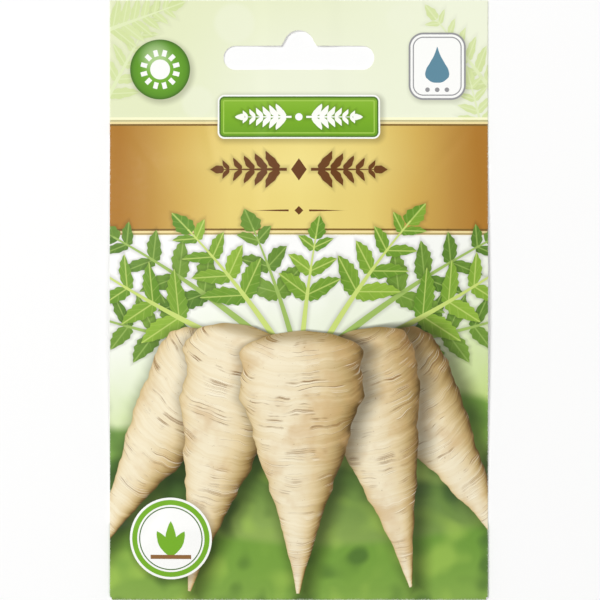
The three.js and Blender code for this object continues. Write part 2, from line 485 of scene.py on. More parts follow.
seedPlaces = layOutSeeds()
print("seeds laid out:", len(seedPlaces))


def frontDetail(x, y):  # small forms that the paper takes up over what lies in it
    full = np.clip(bulge(x, y) / sheet["fullness"], 0, 1)
    bumps = np.zeros_like(x)
    for seedX, seedY, _, _ in seedPlaces[::3]:
        far = ((x - seedX) ** 2 + (y - seedY) ** 2) / sheet["bumpRadius"] ** 2
        bumps = np.maximum(bumps, np.exp(-far))
    rim = np.maximum(abs(x) / (sachet["width"] / 2), abs(y - sachet["centreY"]) / (sachet["height"] / 2))
    ridge = np.exp(-((rim - 1) * sheet["ridgeSharpness"]) ** 2)
    creases = np.zeros_like(x)
    for middleX, middleY, lean in sheet["creases"]:
        c = math.cos(math.radians(lean))
        s = math.sin(math.radians(lean))
        along = (x - middleX) * s - (y - middleY) * c
        across = (x - middleX) * c + (y - middleY) * s
        creases += np.exp(-(across / sheet["creaseBreadth"]) ** 2 - (along / sheet["creaseLength"]) ** 2)
    waves = np.sin(y * 0.21 + 1.3) * np.sin(x * 0.13 + 0.4) + 0.6 * np.sin(y * 0.33 - x * 0.19)
    detail = sheet["seedBumps"] * bumps * full ** 0.5 + sheet["sachetRidge"] * ridge * full ** 0.3
    detail -= sheet["creaseDepth"] * creases * full ** 0.5
    return detail + sheet["cockle"] * waves * full ** 0.5


def frontLevel(x, y):
    return emptyLevel(x, y) + bulge(x, y) + frontDetail(x, y)


def flapPoint(u, past):  # round the bottom fold and up the back, for a place past the front's foot
    high = frontLevel(u, np.full_like(u, bendY))
    low = sheet["ply"] / 2
    turn = np.pi * np.minimum(past / bendLength, 1)
    up = np.maximum(past - bendLength, 0)
    x = u * (1 - sheet["flapTaper"] * up / sheet["flapHeight"])
    y = bendY - bendDepth * np.sin(turn) + up
    return np.stack([x, y, (high + low) / 2 + (high - low) / 2 * np.cos(turn)], axis=-1)


def mainPoint(u, v):  # across the front, round the side folds and back to the seam
    y = bendY + v
    side = np.sign(u)
    past = abs(u) - foldX
    turn = np.clip(past / foldRadius, 0, np.pi)
    foldPoint = np.stack([side * (foldX + foldRadius * np.sin(turn)), y,
                          backLevel(foldX, y) + foldRadius * (1 + np.cos(turn))], axis=-1)
    frontPoint = np.stack([u, y, frontLevel(np.clip(u, -foldX, foldX), y)], axis=-1)
    backX = side * (foldX - past + foldLength)
    level = np.where(side > 0, innerBackLevel(backX, y), backLevel(backX, y))
    backPoint = np.stack([backX, y, level], axis=-1)
    past = past[..., None]
    return np.where(past <= 0, frontPoint, np.where(past < foldLength, foldPoint, backPoint))


def sheetPoint(u, v):  # from a place on the flat sheet to one on the folded packet
    return np.where((v < 0)[..., None], flapPoint(u, -v), mainPoint(u, np.maximum(v, 0)))


def spread(start, end, cell):  # even steps of about one cell, with the end left out
    return np.linspace(start, end, max(2, math.ceil(abs(end - start) / cell)) + 1)[:-1]


def thickSheet(pointAt, us, vs, thickness, has):  # a closed sheet over the cells where has is true
    u, v = np.meshgrid(us, vs, indexing="ij")
    step = 1e-4
    along = pointAt(u + step, v) - pointAt(u - step, v)
    up = pointAt(u, v + step) - pointAt(u, v - step)
    normal = np.cross(along, up)
    normal /= np.linalg.norm(normal, axis=-1, keepdims=True)
    middle = pointAt(u, v)
    outer = (middle + normal * thickness / 2).reshape(-1, 3)
    inner = (middle - normal * thickness / 2).reshape(-1, 3)
    index = np.arange(u.size).reshape(u.shape)
    cells = np.stack([index[:-1, :-1], index[1:, :-1], index[1:, 1:], index[:-1, 1:]], axis=-1)
    quads = cells[has]
    count = u.size
    rims = []
    padded = np.pad(has, 1)
    neighbours = (padded[1:-1, :-2], padded[2:, 1:-1], padded[1:-1, 2:], padded[:-2, 1:-1])
    for side, beside in enumerate(neighbours):
        bare = cells[has & ~beside]
        a = bare[:, side]
        b = bare[:, (side + 1) % 4]
        rims.append(np.stack([b, a, a + count, b + count], axis=-1))
    rim = np.concatenate(rims)
    faces = np.concatenate([quads, quads[:, ::-1] + count, rim])
    kinds = np.repeat(["outer", "inner", "rim"], [len(quads), len(quads), len(rim)])
    return np.concatenate([outer, inner]), faces, kinds


def meshFrom(name, points, faces, slots, materials):  # leaves out points that no face uses
    used = np.unique(faces)
    renumber = np.full(len(points), -1)
    renumber[used] = np.arange(len(used))
    mesh = bpy.data.meshes.new(name)
    mesh.from_pydata((points[used] * mm).tolist(), [], renumber[faces].tolist())
    for material in materials:
        mesh.materials.append(material)
    mesh.polygons.foreach_set("material_index", slots.astype(np.int32))
    mesh.polygons.foreach_set("use_smooth", np.ones(len(faces), dtype=bool))
    mesh.update()
    obj = bpy.data.objects.new(name, mesh)
    bpy.context.scene.collection.objects.link(obj)
    return obj


def holeOutline():  # a long slot with a hump in the middle of its upper side
    endRadius = hole["height"] / 2
    endX = hole["width"] / 2 - endRadius
    middle = top - hole["fromTop"]
    rim = middle + endRadius
    lean = hole["humpLean"]
    points = []

    def arc(cx, cy, radius, start, end, count):
        for turn in np.linspace(start, end, count):
            points.append((cx + radius * math.cos(turn), cy + radius * math.sin(turn)))

    arc(endX, middle, endRadius, -math.pi / 2, math.pi / 2, hole["endSteps"])
    points.append((hole["humpRadius"] + hole["humpFlare"], rim))
    arc(0, rim, hole["humpRadius"], lean, math.pi - lean, hole["humpSteps"])
    points.append((-hole["humpRadius"] - hole["humpFlare"], rim))
    arc(-endX, middle, endRadius, math.pi / 2, math.pi * 1.5, hole["endSteps"])
    return points


# Where each part of the sheet lies on the paper's flat map: across, then up
paperMap = {
    "front": ((0.004, 0.63), (0.004, 0.996)),
    "right": ((0.642, 0.79), (0.004, 0.89)),
    "left": ((0.8, 0.95), (0.004, 0.89)),
    "flap": ((0.642, 0.95), (0.9, 0.996)),
    "inside": ((0.96, 0.98), (0.004, 0.996)),
    "rim": (0.984, 0.989),        # these two go the whole way up
    "punch": (0.993, 0.998),
}


def span(value, low, high, start, end):  # from a place between low and high to one on the map
    return start + (value - low) / (high - low) * (end - start)


def ladder(count, left, right):  # one small rung on the map for each of a row of quads
    step = np.arange(count) / count
    up = np.stack([step + 1 / count, step, step, step + 1 / count], axis=-1)
    across = np.broadcast_to([left, left, right, right], up.shape)
    return np.stack([across, up], axis=-1)


def addMap(mesh, spots):
    layer = mesh.uv_layers.new(name="OFBake")
    layer.data.foreach_set("uv", np.asarray(spots, dtype=np.float32).ravel())


def flatMap(u, v, slots, kinds):  # the front gets most of the map, the hidden inside least
    foldEnd = foldX + foldLength
    backEdge = foldEnd + foldX + lapHalf
    low = -bendLength - sheet["flapHeight"]
    high = top - bendY
    middleU = u.mean(axis=1)
    isBack = slots == backSlot
    spots = np.zeros((*u.shape, 2))
    for name, part, uRange, vRange in (
            ("front", slots == frontSlot, (-foldEnd, foldEnd), (-bendLength, high)),
            ("right", isBack & (middleU > foldX), (foldX, backEdge), (0, high)),
            ("left", isBack & (middleU < -foldX), (-backEdge, -foldX), (0, high)),
            ("flap", isBack & (abs(middleU) < foldX), (-foldX, foldX), (low, 0)),
            ("inside", slots == insideSlot, (-backEdge, backEdge), (low, high))):
        across, up = paperMap[name]
        spots[part] = np.stack([span(u[part], *uRange, *across), span(v[part], *vRange, *up)], axis=-1)
    rim = kinds == "rim"
    spots[rim] = ladder(np.count_nonzero(rim), *paperMap["rim"])
    return spots


def punchHole(paper):
    outline = holeOutline()
    count = len(outline)
    points = [(x * mm, y * mm, z * mm) for z in (-1, 3) for x, y in outline]
    walls = [(k, (k + 1) % count, (k + 1) % count + count, k + count) for k in range(count)]
    ends = [tuple(reversed(range(count))), tuple(range(count, 2 * count))]
    mesh = bpy.data.meshes.new("punch")
    mesh.from_pydata(points, [], walls + ends)
    for material in paper.data.materials:
        mesh.materials.append(material)
    mesh.polygons.foreach_set("material_index", [cutSlot] * len(mesh.polygons))
    wallMap = ladder(count, *paperMap["punch"]).reshape(-1, 2)
    addMap(mesh, np.concatenate([wallMap, np.zeros((2 * count, 2))]))
    punch = bpy.data.objects.new("punch", mesh)
    bpy.context.scene.collection.objects.link(punch)
    cut = paper.modifiers.new("cut", "BOOLEAN")
    cut.operation = "DIFFERENCE"
    cut.solver = "EXACT"
    cut.material_mode = "INDEX"
    cut.object = punch
    bakeModifiers(paper)
    bpy.data.objects.remove(punch)


def bakeModifiers(obj):  # the modifiers' result becomes the piece's own plain mesh
    graph = bpy.context.evaluated_depsgraph_get()
    old = obj.data
    obj.data = bpy.data.meshes.new_from_object(obj.evaluated_get(graph))
    obj.modifiers.clear()
    name = old.name
    bpy.data.meshes.remove(old)
    obj.data.name = name


def makePaper(materials):
    foldEnd = foldX + foldLength
    backEdge = foldEnd + foldX + lapHalf
    seamFoot = foldEnd + foldX - lapHalf
    flapSide = foldX - sheet["flapInset"]
    cell, backCell, foldCell = sheet["cell"], sheet["backCell"], foldLength / sheet["foldSteps"]
    us = np.concatenate([
        spread(-backEdge, -foldEnd, backCell),
        spread(-foldEnd, -foldX, foldCell),
        [-foldX],
        spread(-flapSide, flapSide, cell),
        [flapSide],
        spread(foldX, foldEnd, foldCell),
        spread(foldEnd, seamFoot - sheet["seamSlope"], backCell),
        spread(seamFoot - sheet["seamSlope"], seamFoot, sheet["seamCell"]),
        spread(seamFoot, backEdge, backCell),
        [backEdge],
    ])
    vs = np.concatenate([
        spread(-bendLength - sheet["flapHeight"], -bendLength, backCell),
        spread(-bendLength, 0, bendLength / sheet["bendSteps"]),
        spread(0, top - bendY, cell),
        [top - bendY],
    ])
    uMiddle, vMiddle = np.meshgrid((us[1:] + us[:-1]) / 2, (vs[1:] + vs[:-1]) / 2, indexing="ij")
    has = (abs(uMiddle) < flapSide) | (vMiddle > 0)
    points, faces, kinds = thickSheet(sheetPoint, us, vs, sheet["ply"], has)
    isFront = abs(uMiddle[has]) < foldX + foldLength / 2
    isFront &= vMiddle[has] > -bendLength / 2
    slots = np.full(len(faces), cutSlot)
    slots[:isFront.size] = np.where(isFront, frontSlot, backSlot)
    slots[kinds == "inner"] = insideSlot
    paper = meshFrom("printed_packet", points, faces, slots, materials)
    uGrid, vGrid = np.meshgrid(us, vs, indexing="ij")
    corners = faces % uGrid.size
    addMap(paper.data, flatMap(uGrid.ravel()[corners], vGrid.ravel()[corners], slots, kinds))
    punchHole(paper)
    paper.data.set_sharp_from_angle(angle=math.radians(sheet["sharpAngle"]))
    return paper


inks = {                  # colours of the print
    "cream": ink(231, 237, 197),
    "creamLight": ink(240, 244, 219),
    "creamPale": ink(245, 249, 230),
    "goldEdge": ink(176, 122, 44),
    "goldDeep": ink(190, 144, 66),
    "gold": ink(211, 174, 86),
    "goldPale": ink(230, 206, 116),
    "goldLight": ink(238, 219, 130),
    "goldShine": ink(246, 232, 160),
    "goldLine": ink(243, 224, 163),
    "brownLine": ink(128, 98, 42),
    "titleBrown": ink(104, 61, 23),
    "plaqueFoot": ink(106, 158, 30),
    "plaque": ink(122, 174, 34),
    "plaqueHead": ink(138, 186, 52),
    "plaqueDark": ink(84, 122, 40),
    "plaqueLight": ink(166, 205, 84),
    "white": ink(253, 253, 250),
    "meadowLight": ink(196, 220, 120),
    "meadow": ink(104, 154, 46),
    "meadowDark": ink(66, 104, 40),
    "blurLight": ink(170, 204, 88),
    "blurDark": ink(50, 84, 38),
    "sealGreen": ink(122, 178, 44),
    "sealDark": ink(70, 112, 34),
    "grey": ink(150, 150, 152),
    "water": ink(96, 140, 160),
    "soil": ink(146, 104, 60),
    "paper": ink(250, 250, 244),
    "table": ink(176, 186, 156),
    "cardEdge": ink(214, 218, 196),
    "cardRule": ink(190, 196, 170),
    "worn": ink(248, 246, 238),
    "rootTan": ink(206, 168, 112),
    "rootLip": ink(255, 248, 226),
    "rootCrease": ink(142, 104, 58),
    "rootSpeck": ink(150, 112, 66),
    "rootCrown": ink(150, 126, 70),
}
rootShades = (            # from the shaded edge of a root to its lit side
    (0.0, ink(92, 70, 34)), (0.2, ink(148, 120, 68)), (0.42, ink(196, 170, 116)),
    (0.66, ink(230, 209, 164)), (0.9, ink(246, 234, 203)))
leafInks = {
    "back": dict(dark=ink(82, 122, 40), mid=ink(128, 164, 62), light=ink(160, 190, 96)),
    "front": dict(dark=ink(96, 142, 40), mid=ink(156, 192, 66), light=ink(204, 222, 120)),
    "ghost": dict(dark=ink(212, 226, 160), mid=ink(220, 232, 172), light=ink(228, 238, 190)),
    "brown": dict(dark=ink(104, 61, 23), mid=ink(110, 66, 26), light=ink(104, 61, 23)),
    "white": dict(dark=ink(250, 252, 240), mid=ink(255, 255, 250), light=ink(255, 255, 250)),
}
largeLeaf = dict(bend=0.0, stalk=0.34, pairs=4, reach=9.5, breadth=2.9, shadow=0.3)
leafForm = {
    "sweep": 0.6,         # how far a leaflet leans towards the leaf's tip
    "taper": 0.58,        # how much smaller the leaflets get by the leaf's tip
    "belly": 2.6,         # makes a leaflet as broad as its breadth says
    "endStart": 0.97,     # where the leaflet at the tip starts, as a share of the length
    "endLength": 0.7,
    "endBreadth": 0.75,
    "stemFoot": 0.075,
    "stemTip": 0.022,
    "toothTurns": 0.62,
    "toothDepth": 0.42,
}
picture = {               # a pair of numbers is for the left and the right of the middle line
    "roots": (
        dict(crownX=(-16.5, 17), crownY=-9, lean=(-35, 36), length=(56, 55), width=(21, 20.5),
             bend=(4, -4), seed=(3.1, 7.7)),
        dict(crownX=(-10.5, 11.5), crownY=(-6, -7), lean=(-15, 16), length=(59, 57), width=(24, 23.5),
             bend=(2, -3), seed=(12.4, 18.9)),
        dict(crownX=0.5, crownY=-7, lean=0.8, length=57, width=27, bend=-1.5, seed=25.2),
    ),
    "rootProfile": ((0, 0.3), (0.02, 0.66), (0.06, 0.92), (0.11, 1), (0.2, 0.97), (0.35, 0.82), (0.5, 0.62),
                    (0.68, 0.37), (0.84, 0.18), (0.94, 0.075), (1, 0.02)),
    "rearLeaves": (
        dict(footX=(-10, 11), footY=-10, heading=(177, 3), length=36, bend=(-5, 5)),
        dict(footX=(-7, 8), footY=-9, heading=(140, 39), length=40, bend=(4, -4)),
        dict(footX=-1, footY=-10, heading=105, length=27, bend=2, reach=7.5, pairs=3),
    ),
    "foreLeaves": (
        dict(footX=(-11, 12), footY=-11, heading=(156, 25), length=39, bend=(-3, 3)),
        dict(footX=(-4, 5), footY=-10, heading=(123, 60), length=(32, 33), bend=(3, -3), reach=8.5,
             breadth=2.7),
        dict(footX=0.6, footY=-10, heading=85, length=24, bend=-1, reach=7.5, breadth=2.5, pairs=3,
             stalk=0.36),
    ),
    "ghostLeaves": (
        dict(footX=(-43, 43), footY=(41, 44), heading=(62, 128), length=(24, 22)),
        dict(footX=(-43, 41.5), footY=(58, 30), heading=(20, 104), length=(16, 18)),
    ),
    "ghostForm": dict(stalk=0.1, pairs=6, reach=6, breadth=1.5, shadow=0.08),
    "hills": (            # height, swing, phase, ink and strength
        (-23, 5.0, 0.6, "meadow", 0.85), (-36, 4.0, 2.6, "meadowDark", 0.75),
        (-50, 3.0, 4.4, "meadow", 0.7)),
    "bubbles": (          # x, y, radius and strength of the pale rounds in the header
        (-14, 60, 4.5, 0.5), (22, 61, 3.2, 0.45), (-22, 43, 3.6, 0.5), (26, 44, 5, 0.4),
        (-37, 48, 3, 0.35), (12, 46.5, 2.4, 0.4)),
    "lines": (            # height, width and ink of the lines above and below the band
        (39.35, 0.5, ink(254, 252, 210)), (38.85, 0.35, ink(196, 186, 134)), (38.4, 0.5, inks["goldLine"]),
        (37.95, 0.4, inks["brownLine"]), (15.2, 0.4, inks["brownLine"]), (14.7, 0.45, inks["goldLine"]),
        (14.25, 0.3, ink(180, 162, 106)), (13.9, 0.35, ink(250, 248, 236))),
    "headerFoot": 38.6,
    "bandMiddle": 26.3,
    "bandHalf": 12.3,
    "twigY": 28.2,
    "ruleY": 19.3,
    "plaque": dict(centre=(0, 39.7), size=(35.2, 9.6), corner=1.5),
    "ball": dict(centre=(-30.1, 50), radius=6.5),
    "tag": dict(centre=(30, 50.7), size=(12.4, 14.6), corner=3.2),
    "seal": dict(centre=(-27.7, -51.6), radius=8.9),
    "card": dict(centre=(0, 8), size=(70, 15), corner=1.2),
    "bars": (             # left and right end, height and ink of the bars for sowing and lifting
        (-17.5, 2.9, 11, inks["plaque"]), (11.7, 29.2, 5, inks["gold"])),
    "table": dict(centre=(0, -26), size=(68, 36.4), lineStep=4),
}


def toothed(along):  # swells and narrows a leaflet into teeth
    wave = calc("PINGPONG", along * leafForm["toothTurns"], 0.5)
    return wave * leafForm["toothDepth"] + 0.86


def drawLeaf(board, dark, mid, light, footX, footY, heading, length, bend, stalk, pairs, reach, breadth,
             shadow):  # a stem with pairs of toothed leaflets and one at its tip
    side, along = turned(board, footX, footY, (heading + 90) * (math.pi / 180))
    share = along / length
    side = side - share * share * bend
    fromStem = abs(side)
    spacing = (1 - stalk) * length / pairs
    rung = (along - fromStem * leafForm["sweep"]) / spacing - stalk * length / spacing
    pair = calc("FLOOR", rung)              # number of the pair of leaflets
    off = abs(rung - pair - 0.5)            # distance from the leaflet's vein, in spacings
    inPairs = least(fade(pair, -0.6, -0.4), fade(pair, pairs - 0.4, pairs - 0.6))
    size = 1 - (pair + 0.5) * (leafForm["taper"] / pairs)
    out = most(fromStem / (size * reach), 0.0001)
    teeth = toothed(fromStem)
    half = out ** 0.5 * (1 - out) * (leafForm["belly"] * breadth) * size * teeth
    leaflet = least(half - off * spacing, inPairs * 9 - 4.5)
    outEnd = most((along - length * leafForm["endStart"]) / (reach * leafForm["endLength"]), 0.0001)
    teethEnd = toothed(along)
    endBelly = leafForm["belly"] * breadth * leafForm["endBreadth"]
    halfEnd = outEnd ** 0.5 * (1 - outEnd) * endBelly * teethEnd
    stemHalf = fade(share, 0, 1, leafForm["stemFoot"], leafForm["stemTip"]) * reach
    stem = least(stemHalf - fromStem, strip(along, length))
    endLeaflet = least(halfEnd - fromStem, along - length * (leafForm["endStart"] - 0.01))
    whole = most(leaflet, endLeaflet, stem)
    board.darken(fade(whole, -1.1, 0.2) * shadow)
    atEnd = edge(endLeaflet - leaflet)
    tone = ripple((pair - pair * atEnd) * 3.7 + calc("SIGN", side) * 2.3 + footX + heading, 0)
    mottle = board.grain(1.1)
    tone = fade(tone, 0.3, 0.7) * 0.55 + (rung - pair) * (0.35 - atEnd * 0.35) + mottle * 0.3 - 0.15
    fromVein = off * spacing + (fromStem - off * spacing) * atEnd
    outward = fromStem + (along - fromStem) * atEnd
    vein = fade(fromVein, 0.26, 0.06)
    rib = fade(calc("PINGPONG", outward * 0.5 - fromVein * 0.55, 0.5), 0.1, 0.02) * 0.25
    colour = board.mix(tone, dark, mid)
    colour = board.mix(most(vein, rib) * 0.7, colour, light)
    colour = board.mix(edge(stem), colour, light)
    board.lay(edge(whole), colour)


def drawRoot(board, crownX, crownY, lean, length, width, bend, seed):  # seed picks its rings
    turn = lean * (math.pi / 180)
    across, down = turned(board, crownX, crownY, turn)
    share = down / length
    across = across - share * share * bend
    half = follow(share, picture["rootProfile"]) * width * 0.5
    half = half * (ripple(down * 0.16 + seed) * 0.26 + 0.87)      # it swells and narrows slowly
    ends = strip(down + 0.4, length)
    board.darken(fade(least(half - abs(across - 1.4), ends), -4.2, 1.0) * 0.72)
    aside = least(most(across / most(half, 0.15), -1), 1)         # from -1 to 1 across the root
    facing = (1 - aside * aside) ** 0.5                           # 1 along its middle, 0 at its edges
    drift = board.grain(7)
    ring = down + (1 - facing) * half * 0.3 + drift * 3
    lines = ripple(ring * 0.6 + seed * 3, 5, 0.62)
    breaks = fade(board.grain(5), 0.46, 0.62)
    skin = ripple(ring * 1.6 + board.grain(1.6, 3) * 1.3, 4, 0.65)
    shade = facing * 0.7 - aside * 0.3 + 0.12 + (skin - 0.5) * 0.18 + (lines - 0.5) * 0.24
    colour = colourRamp(shade, rootShades)
    tan = fade(board.grain(8.5, 3, 0.6), 0.46, 0.72)
    colour = board.mix(tan * 0.5, colour, inks["rootTan"])
    crease = fade(abs(lines - 0.5), 0.026, 0.004) * breaks * fade(share, 1.1, 0, 0.3, 0.95)
    lip = fade(abs(lines - 0.545), 0.03, 0.004) * breaks * 0.45
    colour = board.mix(lip, colour, inks["rootLip"])
    colour = board.mix(crease, colour, inks["rootCrease"])
    speck = fade(board.grain(0.55), 0.7, 0.78) * 0.5
    colour = board.mix(speck, colour, inks["rootSpeck"])
    colour = board.mix(fade(down, 3.4, 0.4) * 0.75, colour, inks["rootCrown"])
    board.lay(edge(least(half - abs(across), ends)), colour)


def drawGround(board):  # white above, then soft hills and blurred foliage
    board.lay(edge(39.4 - board.y, 0.02), inks["white"])
    slope = board.y + board.x * -0.22
    mist = board.grain(20, 3)
    green = fade(slope + (mist - 0.5) * 22, 12, -38)
    board.lay(green * edge(14 - board.y, 0.02), inks["meadowLight"])
    for height, swing, phase, name, strength in picture["hills"]:
        hill = calc("SINE", board.x * 0.055 + phase) * swing + height - board.y
        board.lay(fade(hill, -1.5, 1.2) * fade(hill, 26, 2, 0.35, 1) * strength, inks[name])
    low = fade(board.y, -16, -34)
    blur = board.grain(9, 1)
    board.lay(low * fade(blur, 0.52, 0.72) * 0.55, inks["blurLight"])
    board.lay(low * fade(blur, 0.47, 0.3) * 0.6, inks["blurDark"])


def drawHeader(board):
    inHeader = edge(board.y - picture["headerFoot"], 0.02)
    board.lay(inHeader, inks["cream"])
    board.lay(fade(disc(board, (0, 42), 34), 0, 30) * inHeader, inks["creamLight"])
    board.lay(fade(board.x, -4, 36) * inHeader * 0.7, inks["creamPale"])      # paler to the right
    for x, y, radius, strength in picture["bubbles"]:
        board.lay(fade(disc(board, (x, y), radius), -0.5, 0.9) * strength, inks["creamLight"])


def drawBand(board):  # gold, darker towards the sides, between thin lines
    bow = abs(board.x) / halfWidth + board.grain(22) * 0.1
    gold = colourRamp(bow, ((0.0, inks["goldLight"]), (0.42, inks["goldPale"]), (0.66, inks["gold"]),
                            (0.85, inks["goldDeep"]), (1.0, inks["goldEdge"])))
    shine = fade(abs(board.y - 30), 9, 0) * fade(abs(board.x), 34, 0) * 0.25
    gold = board.mix(shine, gold, inks["goldShine"])
    board.lay(edge(picture["bandHalf"] - abs(board.y - picture["bandMiddle"]), 0.02), gold)
    for height, width, colour in picture["lines"]:
        board.lay(edge(width / 2 - abs(board.y - height), 0.06), colour)


def drawPlaque(board):
    depth = plate(board, **picture["plaque"])
    dropShadow(board, plate, picture["plaque"], (0.4, -0.4), -1.4, 0.4, 0.4)
    board.lay(edge(depth), inks["white"])
    body = colourRamp((board.y - 34.8) / 9.8, (                   # from its foot to its head
        (0.0, inks["plaqueFoot"]), (0.5, inks["plaque"]), (0.85, inks["plaqueHead"]),
        (1.0, inks["plaqueDark"])))
    board.lay(edge(depth - 0.35), inks["plaqueDark"])
    board.lay(edge(depth - 0.7), body)
    board.lay(least(edge(depth - 1.15), edge(1.4 - depth)), inks["plaqueLight"])


def drawMarks(board):  # the small marks between the twigs on the plaque and the band
    ruleY = picture["ruleY"]
    board.lay(edge(disc(board, picture["plaque"]["centre"], 0.8)), inks["white"])
    board.lay(edge(1.7 - abs(board.x) - abs(board.y - picture["twigY"]) * 0.7), inks["titleBrown"])
    rule = least(fade(abs(board.x), 14.5, 2, -0.1, 0.2) - abs(board.y - ruleY), abs(board.x) - 2.2)
    board.lay(edge(rule, 0.04), inks["titleBrown"])
    board.lay(edge(0.95 - abs(board.x) - abs(board.y - ruleY)), inks["titleBrown"])


def drawSun(board, colour, middleX, middleY, radius):
    rays = 12
    dx = board.x - middleX
    dy = board.y - middleY
    far = (dx * dx + dy * dy) ** 0.5
    turn = calc("ARCTAN2", dy, dx) * (rays / math.tau)
    off = abs(turn - calc("FLOOR", turn) - 0.5) * far * (math.tau / rays)
    ray = least(radius * 0.11 - off, least(far - radius * 0.68, radius - far))
    board.lay(edge(most(radius * 0.5 - far, ray)), colour)


def drawDrop(board, foot, length, width, colour):
    profile = ((0, 0.02), (0.2, 0.22), (0.45, 0.62), (0.68, 0.97), (0.78, 1), (0.9, 0.78), (1, 0.0))
    board.lay(edge(petal(board, foot, 0, length, width, profile)), colour)


def drawBall(board):
    x, y = picture["ball"]["centre"]
    ball = disc(board, **picture["ball"])
    dropShadow(board, disc, picture["ball"], (0.4, -0.5), -1.4, 0.4, 0.35)
    body = colourRamp(ball / picture["ball"]["radius"], (
        (0.0, inks["sealDark"]), (0.12, ink(92, 148, 38)), (0.5, ink(112, 172, 48)),
        (1.0, ink(140, 196, 72))))
    board.lay(edge(ball), body)
    gloss = disc(board, (x - 0.9, y + 2.6), 4.4)
    board.lay(fade(gloss, 0, 3.5) * edge(ball) * 0.4, ink(230, 246, 200))


def drawTag(board):
    x, y = picture["tag"]["centre"]
    tag = plate(board, **picture["tag"])
    dropShadow(board, plate, picture["tag"], (0.3, -0.4), -1.1, 0.5, 0.3)
    board.lay(edge(tag), inks["grey"])
    board.lay(edge(tag - 0.4), inks["white"])
    board.lay(least(edge(tag - 0.9), edge(1.15 - tag)), inks["grey"])
    drawDrop(board, (x, y + 4.2), 7.8, 5.2, inks["water"])
    for side in (-1, 0, 1):
        board.lay(edge(disc(board, (x + side * 2.1, y - 5.1), 0.5)), inks["grey"])


def drawSeal(board):
    x, y = picture["seal"]["centre"]
    ring = disc(board, **picture["seal"])
    dropShadow(board, disc, picture["seal"], (0.4, -0.5), -1.6, 0.4, 0.4)
    board.lay(edge(ring), inks["white"])
    board.lay(least(edge(ring - 0.5), edge(1.6 - ring)), inks["sealGreen"])
    board.lay(least(edge(ring - 2.0), edge(2.25 - ring)), inks["sealDark"])
    blade = ((0, 0.3), (0.3, 0.9), (0.5, 1), (0.75, 0.7), (1, 0.0))
    for lean, length in ((180, 7.4), (150, 6.0), (210, 6.0)):
        sprout = petal(board, (x, y - 3.6), lean, length, 2.3, blade)
        board.lay(edge(sprout), inks["sealGreen"])
    soil = least(0.45 - abs(board.y - y + 4.0), 4.4 - abs(board.x - x))
    board.lay(edge(soil), inks["soil"])


def wearFolds(board):  # the ink cracks to white along the folds
    cracks = board.grain(0.4, 3, 0.7)
    sides = fade(abs(board.x), halfWidth - 0.35, halfWidth - 0.02)
    foot = fade(board.y * -1, top - 0.4, top - 0.05)
    board.lay(most(sides, foot) * fade(cracks, 0.48, 0.64) * 0.4, inks["worn"])


def coat(board, roughness):  # thin gloss coat over fine paper fibre
    fibre = board.grain(0.26, 3, 0.6)
    pores = board.grain(1)
    board.shader.inputs["Specular IOR Level"].default_value = 0.2
    return finishBoard(board, fade(pores, 0.3, 0.7, roughness - 0.05, roughness + 0.06), fibre, 0.006)


def addSides(board, draw, **given):  # a layer that is drawn once on each side of the middle line
    for key, value in given.items():
        if isinstance(value, tuple) and len(value) == 2:
            given[key] = board.either(*value)
    addLayer(board, draw, **given)


def addLeaf(board, colours, **given):
    addSides(board, drawLeaf, **leafInks[colours], **{**largeLeaf, **given})


def frontPrint():
    board = newBoard("frontPrint", inks["white"])
    addLayer(board, drawGround)
    addLayer(board, drawHeader)
    for leaf in picture["ghostLeaves"]:
        addLeaf(board, "ghost", **leaf, **picture["ghostForm"])
    addLayer(board, drawBand)
    for leaf in picture["rearLeaves"]:
        addLeaf(board, "back", **leaf)
    for leaf in picture["foreLeaves"]:
        addLeaf(board, "front", **leaf)
    for root in picture["roots"]:
        addSides(board, drawRoot, **root)
    addLayer(board, drawPlaque)
    twice = abs(board.x)     # both halves of the twigs at once
    plaqueY = picture["plaque"]["centre"][1]
    addLeaf(board, "white", x=twice, footX=1.6, footY=plaqueY, heading=0, length=10.5,
            stalk=0.08, pairs=6, reach=3.0, breadth=0.95)
    addLeaf(board, "brown", x=twice, footX=2.6, footY=picture["twigY"], heading=0, length=14,
            stalk=0.06, pairs=5, reach=4.3, breadth=1.25)
    addLayer(board, drawMarks)
    addLayer(board, drawBall)
    ballX, ballY = picture["ball"]["centre"]
    addLayer(board, drawSun, colour=inks["white"], middleX=ballX, middleY=ballY, radius=4.3)
    addLayer(board, drawTag)
    addLayer(board, drawSeal)
    addLayer(board, wearFolds)
    return coat(board, 0.44)


def drawCalendar(board):  # the guessed back: a strip of twelve months with sowing bars, and a table
    headerFoot = picture["headerFoot"]
    board.lay(edge(board.y - headerFoot), inks["cream"])
    board.lay(least(edge(headerFoot - board.y), edge(board.y - 36)), inks["gold"])
    board.lay(edge(-48.5 - board.y), inks["meadow"])
    card = plate(board, **picture["card"])
    board.lay(edge(card), inks["cardEdge"])
    board.lay(edge(card - 0.25), inks["white"])
    monthWidth = picture["card"]["size"][0] / 12
    month = board.x * (1 / monthWidth) + 6
    rule = abs(month - calc("ROUND", month)) * monthWidth
    board.lay(edge(0.1 - rule) * edge(card - 0.25), inks["cardRule"])
    for low, high, y, colour in picture["bars"]:
        bar = plate(board, ((low + high) / 2, y), (high - low, 3.2), 1.0)
        board.lay(edge(bar), colour)
    drawDrop(board, (0, 30.6), 9, 6, inks["water"])
    table = picture["table"]
    halfX, halfY = [side / 2 for side in table["size"]]
    step = table["lineStep"]
    row = abs(board.y / step - calc("ROUND", board.y / step)) * step
    inTable = least(halfX - abs(board.x), halfY - abs(board.y - table["centre"][1]))
    board.lay(least(edge(0.09 - row), edge(inTable)), inks["table"])
    dots = least(edge(0.5 - abs(abs(board.x) - 31)), edge(0.5 - abs(row - 1.9)), edge(inTable))
    board.lay(dots, inks["plaque"])


